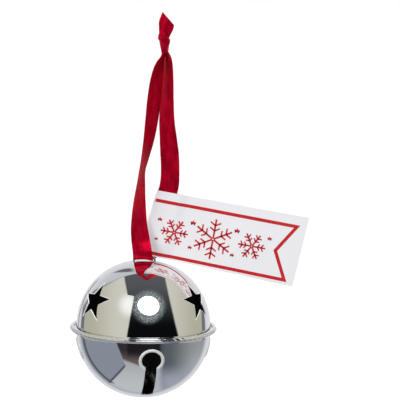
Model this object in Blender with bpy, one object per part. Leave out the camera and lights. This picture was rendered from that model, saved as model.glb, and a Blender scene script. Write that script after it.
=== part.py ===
"""Jingle bell ornament: a crimped two-shell ball with a loose striker, hung by its wire eye on a
knotted satin ribbon that also carries a folded flag tag.

Metres, +Z up. The origin is the hang point inside the top of the ribbon loop, -Y is the front.
"""

import math

import bmesh
import bpy
from mathutils import Matrix, Vector

# ------------------------------------------------------------------ driving sizes
BODY_RADIUS = 0.0350
FLANGE_RADIUS = 0.0380
SHEET = 0.0006
CLEARANCE = 0.00025
CROWN_EXPONENT = 2.06

CROWN = Vector((-0.0090, 0.0, -0.1070))
BAR_HEIGHT = 0.0044
EYE_WIRE_RADIUS = 0.00055
EYE_FOOT_HALF = 0.00545
EYE_TOP_HALF = 0.0030
EYE_CORNER = 0.0012
EYE_TOE_BENDS = ((0.0042, 0.0022), (0.0021, 0.0014), (0.0010, 0.0010), (0.0004, 0.0002))

STRIKER_RADIUS = 0.0075

STAR_AZIMUTHS = (-54.0, 64.0, 184.0)
STAR_LATITUDE = 28.0
STAR_RADIUS = 0.0114
STAR_WAIST = 0.41

KEYHOLE_AZIMUTHS = (9.0, 99.0, 189.0, 279.0)
KEYHOLE_LATITUDE = -16.0
KEYHOLE_RADIUS = 0.0053
SLOT_WIDTH = 0.0058
SLOT_END_LATITUDE = -62.0

RIBBON_WIDTH = 0.0100
RIBBON_THICKNESS = 0.0003
PIECE_GAP = 0.0003

TAG_Y = 0.0046
TAG_LEAF = 0.00035
TAG_SLEEVE_GAP = 0.0017
TAG_TOP_LEFT = (0.00605, 0.0365)
TAG_TOP_RIGHT = (0.0855, 0.0234)
TAG_BOTTOM_RIGHT = (0.0773, -0.0122)
TAG_BOTTOM_LEFT = (-0.0040, 0.0034)
SLEEVE_CENTRE_INSET = 0.0058
SLEEVE_DEPTH = 0.0160
SLEEVE_CURL = 10
TAPER_BEFORE = 0.004
CLOSE_AFTER = 0.002

# ------------------------------------------------------------------ sizes that follow
HALF_SHEET = SHEET / 2
FLANGE_STEP = SHEET + CLEARANCE
FILLET = 0.0005
SEAM_Z = CROWN.z - BODY_RADIUS - FILLET
UPPER_CENTRE_Z = SEAM_Z + FILLET
LOWER_CENTRE_Z = SEAM_Z - FLANGE_STEP - FILLET
HEM_CENTRE_RADIUS = FLANGE_RADIUS - HALF_SHEET - FLANGE_STEP
HEM_LIP_RADIUS = 0.0362
UPPER_FLANGE_RADIUS = HEM_CENTRE_RADIUS + 0.00015
BAR = CROWN + Vector((0, 0, BAR_HEIGHT))
STRIKER_CENTRE_Z = LOWER_CENTRE_Z - (BODY_RADIUS - SHEET - STRIKER_RADIUS - PIECE_GAP)

TURN_STEPS = 56
DOME_STEPS = 10
CUTTER_REACH = 0.012
SLOT_STEPS = 10
LEG_CUTTER_REACH = 0.003
RIBBON_ACROSS = 6
ROUTE_STEPS = 2
SLEEVE_SPANS = 4
KNOT_SIDES = 20
KNOT_FOLDS = 5
KNOT_FOLD_DEPTH = 0.05
SHARP_ANGLE = 40.0

# Route of the ribbon, in metres from the crown: x, y, z, turn of its width about its run in
# degrees, width, and the angle in degrees that its cross-section curls through.
FRONT_ROUTE = (
    (0.0082, -0.0007, 0.1087, -82, 0.0044, 60),
    (0.0074, -0.0008, 0.1060, -74, 0.0070, 40),
    (0.0061, -0.0010, 0.1022, -62, 0.0092, 20),
    (0.0049, -0.0012, 0.0950, -52, 0.0100, 12),
    (0.0037, -0.0014, 0.0846, -48, 0.0100, 10),
    (0.0027, -0.0016, 0.0740, -50, 0.0100, 10),
    (0.0013, -0.0018, 0.0635, -58, 0.0100, 10),
    (-0.0005, -0.0020, 0.0540, -68, 0.0100, 10),
    (-0.0019, -0.0022, 0.0472, -73, 0.0100, 10),
    (-0.0025, -0.0024, 0.0398, -66, 0.0100, 10),
    (-0.0031, -0.0026, 0.0293, -51, 0.0100, 10),
    (-0.0031, -0.0027, 0.0188, -35, 0.0100, 16),
    (-0.0024, -0.0024, 0.0115, -20, 0.0100, 40),
    (-0.0010, -0.0016, 0.0078, -8, 0.0100, 84),
    (0.0000, -0.0011, 0.0056, 0, 0.0100, 124),
    (0.0000, -0.0010, 0.0046, 0, 0.0100, 136),
    (0.0000, -0.0006, 0.0036, 0, 0.0100, 136),
    (0.0000, 0.0002, 0.0034, 0, 0.0100, 136),
    (0.0000, 0.0012, 0.0030, 0, 0.0100, 134),
    (0.0000, 0.0024, 0.0020, 0, 0.0100, 80),
    (0.0001, 0.0035, 0.0011, 0, 0.0100, 22),
    (0.0007, 0.0043, 0.0010, 0, 0.0100, 16),
    (0.00135, 0.0046, 0.0019, 0, 0.0100, 10),
)
BACK_ROUTE = (
    (0.0119, 0.0046, 0.0369, 0, 0.0100, 10),
    (0.0124, 0.0045, 0.0400, -8, 0.0100, 10),
    (0.0126, 0.0043, 0.0442, -15, 0.0100, 10),
    (0.0125, 0.0040, 0.0500, -16, 0.0100, 10),
    (0.0121, 0.0037, 0.0563, -16, 0.0100, 10),
    (0.0114, 0.0033, 0.0631, -26, 0.0100, 10),
    (0.0104, 0.0028, 0.0735, -38, 0.0100, 10),
    (0.0103, 0.0022, 0.0840, -48, 0.0100, 10),
    (0.0107, 0.0016, 0.0946, -60, 0.0100, 12),
    (0.0106, 0.0012, 0.1022, -68, 0.0092, 20),
    (0.0100, 0.0009, 0.1060, -76, 0.0070, 40),
    (0.0093, 0.0008, 0.1087, -82, 0.0044, 60),
)
TAIL_ROUTE = (
    (0.0002, 0.0000, 0.1189, 0, 0.0061, 60),
    (0.0003, -0.0003, 0.1219, 0, 0.0069, 54),
    (0.0006, -0.0006, 0.1249, 0, 0.0074, 48),
    (0.0011, -0.0008, 0.1279, 0, 0.0073, 44),
    (0.0017, -0.0008, 0.1308, 0, 0.0063, 40),
)
TAIL_ROOT_X = 0.0086
TAIL_CUT_TIP = (0.0075, 0.1294)
TAIL_CUT_CORNER = (0.0136, 0.1225)

# Knot sections from the bottom up: centre x, height, half width, half depth.
KNOT_SECTIONS = (
    (0.0087, 0.1090, 0.0017, 0.0024),
    (0.0087, 0.1102, 0.0019, 0.0026),
    (0.0087, 0.1130, 0.0025, 0.0030),
    (0.0085, 0.1152, 0.0025, 0.0030),
    (0.0083, 0.1172, 0.0023, 0.0027),
    (0.0082, 0.1186, 0.0019, 0.0022),
)


# ------------------------------------------------------------------ helpers
def clear_scene():
    for obj in list(bpy.data.objects):
        bpy.data.objects.remove(obj)


def material(name, colour, roughness, metallic):
    mat = bpy.data.materials.new(name)
    mat.use_nodes = True
    shader = mat.node_tree.nodes["Principled BSDF"]
    shader.inputs["Base Color"].default_value = (*colour, 1.0)
    shader.inputs["Roughness"].default_value = roughness
    shader.inputs["Metallic"].default_value = metallic
    return mat


def empty(name, location):
    obj = bpy.data.objects.new(name, None)
    obj.location = location
    bpy.context.scene.collection.objects.link(obj)
    return obj


def add_object(name, mesh, mat, parent):
    mesh.materials.append(mat)
    mesh.shade_smooth()
    mesh.set_sharp_from_angle(angle=math.radians(SHARP_ANGLE))
    return link_under(name, mesh, parent)


def mesh_from_bmesh(name, bm):
    bmesh.ops.recalc_face_normals(bm, faces=bm.faces)
    mesh = bpy.data.meshes.new(name)
    bm.to_mesh(mesh)
    bm.free()
    return mesh


def loft(name, rings):
    """Joins equal rings of points into one tube, with a flat cap on each end."""
    bm = bmesh.new()
    loops = [[bm.verts.new(point) for point in ring] for ring in rings]
    count = len(loops[0])
    for lower, upper in zip(loops, loops[1:]):
        for i in range(count):
            j = (i + 1) % count
            bm.faces.new((lower[i], lower[j], upper[j], upper[i]))
    bm.faces.new(loops[0])
    bm.faces.new(loops[-1])
    return mesh_from_bmesh(name, bm)


def turned(name, profile, centre):
    """Spins a closed profile of (radius, height) points about the bell's upright axis."""
    bm = bmesh.new()
    verts = [bm.verts.new((r, 0, z)) for r, z in profile]
    edges = [bm.edges.new((verts[i - 1], verts[i])) for i in range(1, len(verts))]
    if profile[0][0] > 0:
        edges.append(bm.edges.new((verts[-1], verts[0])))
    bmesh.ops.spin(
        bm, geom=verts + edges, cent=(0, 0, 0), axis=(0, 0, 1), angle=math.tau,
        steps=TURN_STEPS, use_merge=True,
    )
    bmesh.ops.remove_doubles(bm, verts=bm.verts, dist=1e-6)
    bmesh.ops.translate(bm, verts=bm.verts, vec=(centre.x, centre.y, 0))
    return mesh_from_bmesh(name, bm)


def thicken(line, thickness):
    """Closed outline of a sheet whose middle follows a line of (radius, height) points."""
    points = [Vector(p) for p in line]
    sides = []
    for i, point in enumerate(points):
        before = points[max(i - 1, 0)]
        after = points[min(i + 1, len(points) - 1)]
        run = (after - before).normalized()
        sides.append(Vector((run.y, -run.x)) * thickness / 2)
    sides[0] = Vector((0, -thickness / 2)) if points[0].x == 0 else sides[0]
    outer = [p - s for p, s in zip(points, sides)]
    inner = [p + s for p, s in zip(points, sides)]
    return [tuple(p) for p in outer + inner[::-1]]


def arc(cx, cy, radius, start, end, steps):
    angles = [math.radians(start + (end - start) * i / steps) for i in range(steps + 1)]
    return [(cx + radius * math.cos(a), cy + radius * math.sin(a)) for a in angles]


def cut(target, cutters):
    for index, cutter in enumerate(cutters):
        cutter.hide_render = True
        cutter.display_type = "WIRE"
        modifier = target.modifiers.new(f"cut_{index}", "BOOLEAN")
        modifier.operation = "DIFFERENCE"
        modifier.object = cutter
        modifier.solver = "EXACT"


def link_under(name, mesh, parent):
    """Links a mesh whose points are in world space, under a parent that sits on a joint axis."""
    mesh.transform(Matrix.Translation(-parent.location))
    obj = bpy.data.objects.new(name, mesh)
    obj.parent = parent
    bpy.context.scene.collection.objects.link(obj)
    return obj


def prism(name, outline, frame, near, far, parent):
    """Cutter that runs an (x, z) outline along -Y of a frame, from near to far."""
    rings = [[frame @ Vector((x, -depth, z)) for x, z in outline] for depth in (near, far)]
    return link_under(name, loft(name, rings), parent)


def outward_frame(centre_z, azimuth, latitude):
    """Frame on the bell's axis whose -Y points out through a place on the shell."""
    turn = Matrix.Rotation(math.radians(azimuth), 4, "Z")
    tilt = Matrix.Rotation(math.radians(-latitude), 4, "X")
    return Matrix.Translation((CROWN.x, CROWN.y, centre_z)) @ turn @ tilt


# ------------------------------------------------------------------ ball
def dome_line(sign, centre_z, exponent):
    """Middle of a pressed half ball, from its pole to its rim."""
    radius = BODY_RADIUS - HALF_SHEET
    line = []
    for i in range(DOME_STEPS + 1):
        angle = math.pi / 2 * i / DOME_STEPS
        r = radius * math.sin(angle) ** (2 / exponent)
        z = radius * max(math.cos(angle), 0.0) ** (2 / exponent)
        line.append((r, centre_z + sign * z))
    line[-1] = (radius, centre_z)
    return line


def upper_shell_mesh():
    radius = BODY_RADIUS - HALF_SHEET
    line = dome_line(1, UPPER_CENTRE_Z, CROWN_EXPONENT)
    line += arc(radius + FILLET, UPPER_CENTRE_Z, FILLET, 180, 270, 3)[1:]
    line.append((UPPER_FLANGE_RADIUS, SEAM_Z))
    return turned("upper_shell", thicken(line, SHEET), CROWN)


def lower_shell_mesh():
    radius = BODY_RADIUS - HALF_SHEET
    line = dome_line(-1, LOWER_CENTRE_Z, 2.0)
    line += arc(radius + FILLET, LOWER_CENTRE_Z, FILLET, 180, 90, 3)[1:]
    line += arc(HEM_CENTRE_RADIUS, SEAM_Z, FLANGE_STEP, -90, 90, 6)
    line.append((HEM_LIP_RADIUS, SEAM_Z + FLANGE_STEP))
    return turned("lower_shell", thicken(line, SHEET), CROWN)


def star_outline():
    outline = []
    for i in range(10):
        reach = STAR_RADIUS * (1 if i % 2 == 0 else STAR_WAIST)
        angle = math.radians(90 + 36 * i)
        outline.append((reach * math.cos(angle), reach * math.sin(angle)))
    return outline


def star_cutters(parent):
    cutters = []
    for number, azimuth in enumerate(STAR_AZIMUTHS, 1):
        frame = outward_frame(UPPER_CENTRE_Z, azimuth, STAR_LATITUDE)
        near, far = BODY_RADIUS - CUTTER_REACH, BODY_RADIUS + CUTTER_REACH
        cutters.append(prism(f"star_cutter_{number}", star_outline(), frame, near, far, parent))
    return cutters


def keyhole_cutters(parent):
    """A round hole and, running down from it along the shell, a slot of even width."""
    cutters = []
    near, far = BODY_RADIUS - CUTTER_REACH, BODY_RADIUS + CUTTER_REACH
    round_outline = arc(0, 0, KEYHOLE_RADIUS, 0, 360, 24)[:-1]
    slot_outline = arc(0, 0, far, KEYHOLE_LATITUDE, SLOT_END_LATITUDE, SLOT_STEPS)
    slot_outline += arc(0, 0, near, SLOT_END_LATITUDE, KEYHOLE_LATITUDE, SLOT_STEPS)
    for number, azimuth in enumerate(KEYHOLE_AZIMUTHS, 1):
        frame = outward_frame(LOWER_CENTRE_Z, azimuth, KEYHOLE_LATITUDE)
        cutters.append(prism(f"hole_cutter_{number}", round_outline, frame, near, far, parent))
        upright = outward_frame(LOWER_CENTRE_Z, azimuth, 0.0)
        rings = []
        for x in (-SLOT_WIDTH / 2, SLOT_WIDTH / 2):
            rings.append([upright @ Vector((x, -out, height)) for out, height in slot_outline])
        name = f"slot_cutter_{number}"
        cutters.append(link_under(name, loft(name, rings), parent))
    return cutters


def leg_cutters(parent):
    """Two small holes in the crown that the legs of the eye drop through."""
    outline = arc(0, 0, EYE_WIRE_RADIUS + PIECE_GAP, 0, 360, 12)[:-1]
    cutters = []
    for number, side in enumerate((-1, 1), 1):
        foot = Vector((CROWN.x + side * EYE_FOOT_HALF, CROWN.y, CROWN.z))
        upright = Matrix.Translation(foot) @ Matrix.Rotation(math.radians(-90), 4, "X")
        name = f"leg_cutter_{number}"
        cutters.append(prism(name, outline, upright, -LEG_CUTTER_REACH, LEG_CUTTER_REACH, parent))
    return cutters


def eye_route():
    """Wire from one toe, bent out inside the crown, over the bar and down to the other toe."""
    bar = BAR.z
    under = CROWN.z - SHEET - EYE_WIRE_RADIUS - 2 * PIECE_GAP
    slope = (EYE_FOOT_HALF - EYE_TOP_HALF) / (bar - CROWN.z)
    side = [(EYE_FOOT_HALF + out, under - drop) for out, drop in EYE_TOE_BENDS]
    side.append((EYE_FOOT_HALF, CROWN.z))
    side.append((EYE_TOP_HALF + slope * EYE_CORNER, bar - EYE_CORNER))
    side.append((EYE_TOP_HALF - 0.0001, bar - 0.0004))
    side.append((EYE_TOP_HALF - EYE_CORNER * 0.7, bar))
    right = [Vector((CROWN.x + x, CROWN.y, z)) for x, z in side]
    left = [Vector((CROWN.x - x, CROWN.y, z)) for x, z in side]
    return left + right[::-1]


def tube(name, route, radius, sides, parent, mat):
    """Round wire of even thickness along a route that stays in one upright plane."""
    rings = []
    for i, point in enumerate(route):
        before = route[max(i - 1, 0)]
        after = route[min(i + 1, len(route) - 1)]
        run = (after - before).normalized()
        across = Vector((0, 1, 0)).cross(run)
        ring = []
        for k in range(sides):
            angle = math.tau * k / sides
            ring.append(point + radius * (math.cos(angle) * across + math.sin(angle) * Vector((0, 1, 0))))
        rings.append(ring)
    return add_object(name, loft(name, rings), mat, parent)


# ------------------------------------------------------------------ ribbon
def smooth_route(route, per_span):
    """Catmull-Rom curve through the stations, carried through all six of their values."""
    rows = []
    last = len(route) - 1
    for i in range(last):
        p0, p1, p2, p3 = (route[min(max(k, 0), last)] for k in (i - 1, i, i + 1, i + 2))
        for step in range(per_span):
            t = step / per_span
            rows.append([
                0.5 * (2 * b + (c - a) * t + (2 * a - 5 * b + 4 * c - d) * t**2
                       + (3 * b - a - 3 * c + d) * t**3)
                for a, b, c, d in zip(p0, p1, p2, p3)
            ])
    rows.append(list(route[last]))
    return rows


def ribbon_rings(rows, origin, end_runs=(None, None)):
    """Thin cross-sections, curled away from the inside of the loop by their curl angle."""
    points = [origin + Vector(row[:3]) for row in rows]
    rings = []
    for i, row in enumerate(rows):
        turn, width, curl = math.radians(row[3]), row[4], math.radians(max(row[5], 0.5))
        run = points[min(i + 1, len(points) - 1)] - points[max(i - 1, 0)]
        if i == 0 and end_runs[0]:
            run = end_runs[0]
        if i == len(rows) - 1 and end_runs[1]:
            run = end_runs[1]
        run = run.normalized()
        level = (Vector((1, 0, 0)) - run * run.x * abs(run.z)).normalized()
        out = run.cross(level).normalized()
        across = math.cos(turn) * level + math.sin(turn) * out
        face = run.cross(across)
        bend = width / curl
        inner, outer = [], []
        for k in range(RIBBON_ACROSS + 1):
            angle = curl * (k / RIBBON_ACROSS - 0.5)
            for side, bucket in ((-RIBBON_THICKNESS / 2, inner), (RIBBON_THICKNESS / 2, outer)):
                radius = bend + side
                offset = across * (radius * math.sin(angle)) + face * (bend - radius * math.cos(angle))
                bucket.append(points[i] + offset)
        rings.append(inner + outer[::-1])
    return rings


def sleeve_axis():
    """Point and direction of the ribbon's run through the tag's folded end."""
    top = Vector((TAG_TOP_LEFT[0], 0, TAG_TOP_LEFT[1]))
    bottom = Vector((TAG_BOTTOM_LEFT[0], 0, TAG_BOTTOM_LEFT[1]))
    run = (top - bottom).normalized()
    point = CROWN + bottom + Vector((SLEEVE_CENTRE_INSET, TAG_Y, 0))
    return point, run


def sleeve_ribbon_rows():
    point, run = sleeve_axis()
    start = FRONT_ROUTE[-1]
    end = BACK_ROUTE[0]
    low = CROWN + Vector(start[:3]) + run * PIECE_GAP
    high = CROWN + Vector(end[:3]) - run * PIECE_GAP
    rows = []
    for i in range(SLEEVE_SPANS + 1):
        place = low.lerp(high, i / SLEEVE_SPANS) - CROWN
        rows.append([place.x, place.y, place.z, 0, RIBBON_WIDTH, SLEEVE_CURL])
    return rows, run


def knot_mesh():
    """Wrapped barrel with shallow folds around it."""
    rings = []
    for x, z, half_width, half_depth in KNOT_SECTIONS:
        ring = []
        for k in range(KNOT_SIDES):
            angle = math.tau * k / KNOT_SIDES
            fold = 1 + KNOT_FOLD_DEPTH * math.cos(KNOT_FOLDS * angle)
            ring.append(CROWN + Vector((
                x + half_width * fold * math.cos(angle),
                half_depth * fold * math.sin(angle),
                z,
            )))
        rings.append(ring)
    return loft("ribbon_knot", rings)


def tail_mesh(name, side):
    """Ribbon end above the knot, cut off on the slant."""
    rows = []
    for x, y, z, turn, width, curl in TAIL_ROUTE:
        rows.append([TAIL_ROOT_X + x, side * (0.0006 - y), z, turn, width, curl * -side])
    rows = smooth_route(rows, ROUTE_STEPS)
    tip, corner = TAIL_CUT_TIP, TAIL_CUT_CORNER
    slope = (corner[1] - tip[1]) / (corner[0] - tip[0])
    bottom, top = rows[0][2], rows[-1][2]
    rings = []
    for row in rows:
        width, curl = row[4], math.radians(abs(row[5]))
        bend = width / curl
        inner, outer = [], []
        for k in range(RIBBON_ACROSS + 1):
            angle = curl * (k / RIBBON_ACROSS - 0.5)
            for half, bucket in ((-RIBBON_THICKNESS / 2, inner), (RIBBON_THICKNESS / 2, outer)):
                radius = bend + half
                x = row[0] + radius * math.sin(angle)
                y = row[1] + bend - radius * math.cos(angle)
                limit = tip[1] + slope * (x - tip[0])
                z = bottom + (row[2] - bottom) * (limit - bottom) / (top - bottom)
                bucket.append(CROWN + Vector((x, y, z)))
        rings.append(inner + outer[::-1])
    return loft(name, rings)


# ------------------------------------------------------------------ tag
def tag_mesh():
    """Card folded round the ribbon: a flat sleeve at the fold, then two leaves stuck together."""
    gap = TAG_SLEEVE_GAP / 2
    skin = gap + TAG_LEAF
    taper = SLEEVE_DEPTH - TAPER_BEFORE
    top_left, top_right = Vector(TAG_TOP_LEFT), Vector(TAG_TOP_RIGHT)
    bottom_left, bottom_right = Vector(TAG_BOTTOM_LEFT), Vector(TAG_BOTTOM_RIGHT)
    length = (top_right - top_left).length

    def ring(outline, left, right):
        along = (right - left).normalized()
        scale = (right - left).length / length
        points = []
        for s, n in outline:
            place = left + along * s * scale
            points.append(CROWN + Vector((place.x, TAG_Y + n, place.y)))
        return points

    outer = arc(skin, 0, skin, 180, 90, 5)
    outer += [(taper, skin), (SLEEVE_DEPTH + CLOSE_AFTER, TAG_LEAF), (length, TAG_LEAF)]
    outer += [(s, -n) for s, n in outer[:0:-1]]
    hole = [(s + TAG_LEAF, n) for s, n in arc(gap, 0, gap, 180, 90, 5)]
    hole += [(taper, gap), (SLEEVE_DEPTH, 0.0)]
    hole += [(s, -n) for s, n in hole[-2:0:-1]]

    bm = bmesh.new()
    walls = []
    for outline in (outer, hole):
        low = [bm.verts.new(p) for p in ring(outline, bottom_left, bottom_right)]
        high = [bm.verts.new(p) for p in ring(outline, top_left, top_right)]
        count = len(low)
        for i in range(count):
            j = (i + 1) % count
            bm.faces.new((low[i], low[j], high[j], high[i]))
        walls.append((low, high))
    for end in (0, 1):
        edges = []
        for wall in walls:
            loop = wall[end]
            for i in range(len(loop)):
                edges.append(bm.edges.get((loop[i - 1], loop[i])))
        bmesh.ops.triangle_fill(bm, use_beauty=True, edges=edges)
    return mesh_from_bmesh("tag_card", bm)


# ------------------------------------------------------------------ build
def build():
    clear_scene()
    steel = material("plated_steel", (0.80, 0.80, 0.81), 0.08, 1.0)
    wire = material("bright_wire", (0.78, 0.78, 0.78), 0.18, 1.0)
    striker = material("striker_steel", (0.45, 0.45, 0.46), 0.35, 1.0)
    satin = material("red_satin", (0.34, 0.006, 0.024), 0.45, 0.0)
    card = material("white_card", (0.86, 0.85, 0.88), 0.75, 0.0)

    root = empty("hang_point", Vector((0, 0, 0)))
    bell_pivot = empty("bell_pivot", BAR)
    striker_pivot = empty("striker_pivot", Vector((CROWN.x, CROWN.y, LOWER_CENTRE_Z)))
    axis_point, axis_run = sleeve_axis()
    tag_pivot = empty("tag_pivot", axis_point)

    upper = add_object("upper_shell", upper_shell_mesh(), steel, bell_pivot)
    cut(upper, star_cutters(bell_pivot) + leg_cutters(bell_pivot))

    lower = add_object("lower_shell", lower_shell_mesh(), steel, bell_pivot)
    cut(lower, keyhole_cutters(bell_pivot))

    tube("hanger_eye", eye_route(), EYE_WIRE_RADIUS, 10, bell_pivot, wire)

    bm = bmesh.new()
    bmesh.ops.create_uvsphere(bm, u_segments=24, v_segments=12, radius=STRIKER_RADIUS)
    bmesh.ops.translate(bm, verts=bm.verts, vec=(CROWN.x, CROWN.y, STRIKER_CENTRE_Z))
    add_object("striker_ball", mesh_from_bmesh("striker_ball", bm), striker, striker_pivot)

    front = ribbon_rings(smooth_route(FRONT_ROUTE, ROUTE_STEPS), CROWN, (None, axis_run))
    add_object("ribbon_front", loft("ribbon_front", front), satin, root)
    back = ribbon_rings(smooth_route(BACK_ROUTE, ROUTE_STEPS), CROWN, (axis_run, None))
    add_object("ribbon_back", loft("ribbon_back", back), satin, root)
    rows, run = sleeve_ribbon_rows()
    held = ribbon_rings(rows, CROWN, (run, run))
    add_object("ribbon_in_tag", loft("ribbon_in_tag", held), satin, tag_pivot)
    add_object("ribbon_knot", knot_mesh(), satin, root)
    add_object("ribbon_tail_front", tail_mesh("ribbon_tail_front", -1), satin, root)
    add_object("ribbon_tail_back", tail_mesh("ribbon_tail_back", 1), satin, root)

    add_object("tag_card", tag_mesh(), card, tag_pivot)


build()
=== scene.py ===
"""Looks of the jingle bell ornament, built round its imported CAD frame. Metres; +Z up, -Y front."""

import math

import bmesh
import bpy
from mathutils import Matrix, Vector


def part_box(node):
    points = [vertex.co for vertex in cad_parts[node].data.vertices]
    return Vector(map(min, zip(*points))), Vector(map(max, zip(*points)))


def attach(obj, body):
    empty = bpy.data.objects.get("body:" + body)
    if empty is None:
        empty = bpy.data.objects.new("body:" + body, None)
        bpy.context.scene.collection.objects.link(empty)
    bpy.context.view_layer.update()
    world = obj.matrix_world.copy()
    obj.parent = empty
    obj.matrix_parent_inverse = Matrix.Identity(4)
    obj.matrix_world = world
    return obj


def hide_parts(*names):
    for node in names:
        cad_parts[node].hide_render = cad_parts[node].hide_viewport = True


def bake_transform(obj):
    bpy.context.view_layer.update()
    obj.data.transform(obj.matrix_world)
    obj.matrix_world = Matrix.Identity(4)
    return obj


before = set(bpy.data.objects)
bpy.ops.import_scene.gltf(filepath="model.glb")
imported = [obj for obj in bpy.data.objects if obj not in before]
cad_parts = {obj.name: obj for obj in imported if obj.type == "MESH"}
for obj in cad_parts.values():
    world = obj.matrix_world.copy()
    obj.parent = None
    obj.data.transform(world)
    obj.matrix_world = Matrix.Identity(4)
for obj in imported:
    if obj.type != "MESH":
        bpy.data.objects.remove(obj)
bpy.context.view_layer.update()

MM = 0.001
scene = bpy.context.scene

# -------- places and sizes
upper_low, upper_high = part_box("upper_shell")
lower_low, lower_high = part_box("lower_shell")
CROWN = Vector(((upper_low.x + upper_high.x) / 2, 0.0, upper_high.z))
SHEET = 0.6 * MM
BODY_RADIUS = 35.0 * MM
FLANGE_RADIUS = (lower_high.x - lower_low.x) / 2
CROWN_EXPONENT = 2.06
LOWER_EXPONENT = 2.0
FILLET = 0.5 * MM
FLANGE_STEP = 0.85 * MM
SEAM_Z = CROWN.z - BODY_RADIUS - FILLET
UPPER_CENTRE_Z = SEAM_Z + FILLET
LOWER_CENTRE_Z = SEAM_Z - FLANGE_STEP - FILLET
HEM_CENTRE_RADIUS = FLANGE_RADIUS - SHEET / 2 - FLANGE_STEP
HEM_LIP_RADIUS = 36.2 * MM
HEM_RIDGE = 0.13
RIPPLES = 72
RIPPLE_HEIGHT = 0.20 * MM
RIPPLE_FADE = 1.0 * MM
RIPPLE_TWIST = 2200
NORMAL_BAND = 0.12 * MM

STAR_AZIMUTHS = (-54.0, 64.0, 184.0)
STAR_LATITUDE = 28.0
STAR_RADIUS = 11.4 * MM
STAR_WAIST = 0.41
KEYHOLE_AZIMUTHS = (9.0, 99.0, 189.0, 279.0)
KEYHOLE_LATITUDE = -16.0
KEYHOLE_RADIUS = 5.3 * MM
SLOT_HALF = 3.25 * MM
SLOT_END_LATITUDE = -63.2
SLOT_END_FLATNESS = 0.5
CUTTER_REACH = 4 * MM
RIM_RADIUS = 0.31 * MM
KEYHOLE_LIP_RADIUS = 0.85 * MM

STRIKER_FLAT = 0.97
STRIKER_DENT = 0.006
EYE_WIRE_RADIUS = 0.55 * MM
# Right half of the eye from its splayed foot to its bar, in millimetres from the crown.
EYE_SIDE = (
    (9.65, -3.95), (7.55, -3.15), (6.45, -2.75), (5.85, -1.95), (5.45, -0.6), (5.45, 0.6),
    (4.2, 2.2), (3.45, 3.3), (2.95, 4.0), (2.2, 4.35), (1.0, 4.4),
)

RIBBON_WIDTH = 10.0 * MM
RIBBON_THICKNESS = 0.3 * MM
PLEAT_DEPTH = 0.9 * MM
SELVEDGE_SWELL = 0.35
# Millimetres that the stretch inside the tag keeps clear of each strand's end.
JOIN_GAP = 0.02

TAG_Y = 4.6 * MM
TAG_LEAF = 0.35 * MM
TAG_SLEEVE_GAP = 1.7 * MM
TAG_TOP_LEFT = Vector((6.05, 36.5)) * MM
TAG_TOP_RIGHT = Vector((85.5, 23.4)) * MM
TAG_BOTTOM_RIGHT = Vector((77.4, -13.2)) * MM
TAG_BOTTOM_LEFT = Vector((-4.0, 3.4)) * MM
SLEEVE_DEPTH = 16.0 * MM
SLEEVE_TAPER_START = SLEEVE_DEPTH - 4 * MM
SLEEVE_TAPER_END = SLEEVE_DEPTH + 2 * MM
SLEEVE_TAPER = SLEEVE_TAPER_END - SLEEVE_TAPER_START

# Ribbon routes in millimetres from the crown: x, y, z, turn of the width about the run in
# degrees, width, and the angle in degrees that the cross-section curls through. The tail's
# x and y are from its root. Knot sections: x, z, half width, half depth.
FRONT_ROUTE = (
    (8.2, -0.7, 108.7, -82, 4.4, 60),
    (7.4, -0.8, 106.0, -74, 7.0, 40),
    (6.1, -1.0, 102.2, -62, 9.2, 20),
    (4.9, -1.2, 95.0, -52, 10.0, 12),
    (3.7, -1.4, 84.6, -48, 10.0, 10),
    (2.7, -1.6, 74.0, -50, 10.0, 10),
    (1.3, -1.8, 63.5, -58, 10.0, 10),
    (-0.5, -2.0, 54.0, -68, 10.0, 10),
    (-1.9, -2.2, 47.2, -73, 10.0, 10),
    (-2.5, -2.4, 39.8, -66, 10.0, 10),
    (-3.1, -2.6, 29.3, -51, 10.0, 10),
    (-3.1, -2.2, 18.8, -35, 10.0, 14),
    (-2.2, -1.7, 11.5, -20, 10.0, 12),
    (-1.5, -2.6, 7.8, -10, 10.0, 10),
    (-1.0, -3.3, 4.8, -4, 10.0, 10),
    (-0.8, -2.7, 2.2, 0, 10.0, 10),
    (-0.5, -1.7, 1.0, 0, 10.0, 14),
    (-0.2, -0.9, 1.5, 0, 10.0, 50),
    (0.0, 0.0, 2.7, 0, 10.0, 100),
    (0.0, 1.2, 2.8, 0, 10.0, 104),
    (0.0, 2.4, 2.3, 0, 10.0, 64),
    (0.1, 3.5, 1.9, 0, 10.0, 20),
    (0.65, 4.25, 1.75, 0, 10.0, 12),
    (1.35, 4.6, 2.1, 0, 10.0, 10),
)
BACK_ROUTE = (
    (11.9, 4.6, 36.9, 0, 10.0, 10),
    (12.4, 4.5, 40.0, -8, 10.0, 10),
    (12.6, 4.3, 44.2, -15, 10.0, 10),
    (12.5, 4.0, 50.0, -16, 10.0, 10),
    (12.1, 3.7, 56.3, -16, 10.0, 10),
    (11.4, 3.3, 63.1, -26, 10.0, 10),
    (10.4, 2.8, 73.5, -38, 10.0, 10),
    (10.4, 2.2, 84.0, -48, 10.0, 10),
    (10.6, 1.6, 94.6, -56, 10.0, 12),
    (10.4, 1.2, 102.2, -60, 9.6, 20),
    (10.15, 0.9, 106.0, -61, 7.6, 34),
    (9.6, 0.8, 108.7, -72, 5.4, 50),
)
TAIL_ROUTE = (
    (-0.1, 0.0, 114.0, 0, 4.0, 60),
    (0.0, -0.3, 117.1, 0, 5.4, 54),
    (0.3, -0.6, 120.2, 0, 6.4, 48),
    (0.65, -0.8, 123.2, 0, 7.2, 44),
    (1.35, -0.8, 126.3, 0, 6.8, 40),
    (1.95, -0.8, 129.4, 0, 6.2, 38),
)
TAIL_ROOT_X = 8.6
TAIL_STAND_OFF = 0.6
TAIL_PLEAT = 1.6
TAIL_CUT_TIP = (7.5, 129.4)
TAIL_CUT_CORNER = (13.6, 122.5)
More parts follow.
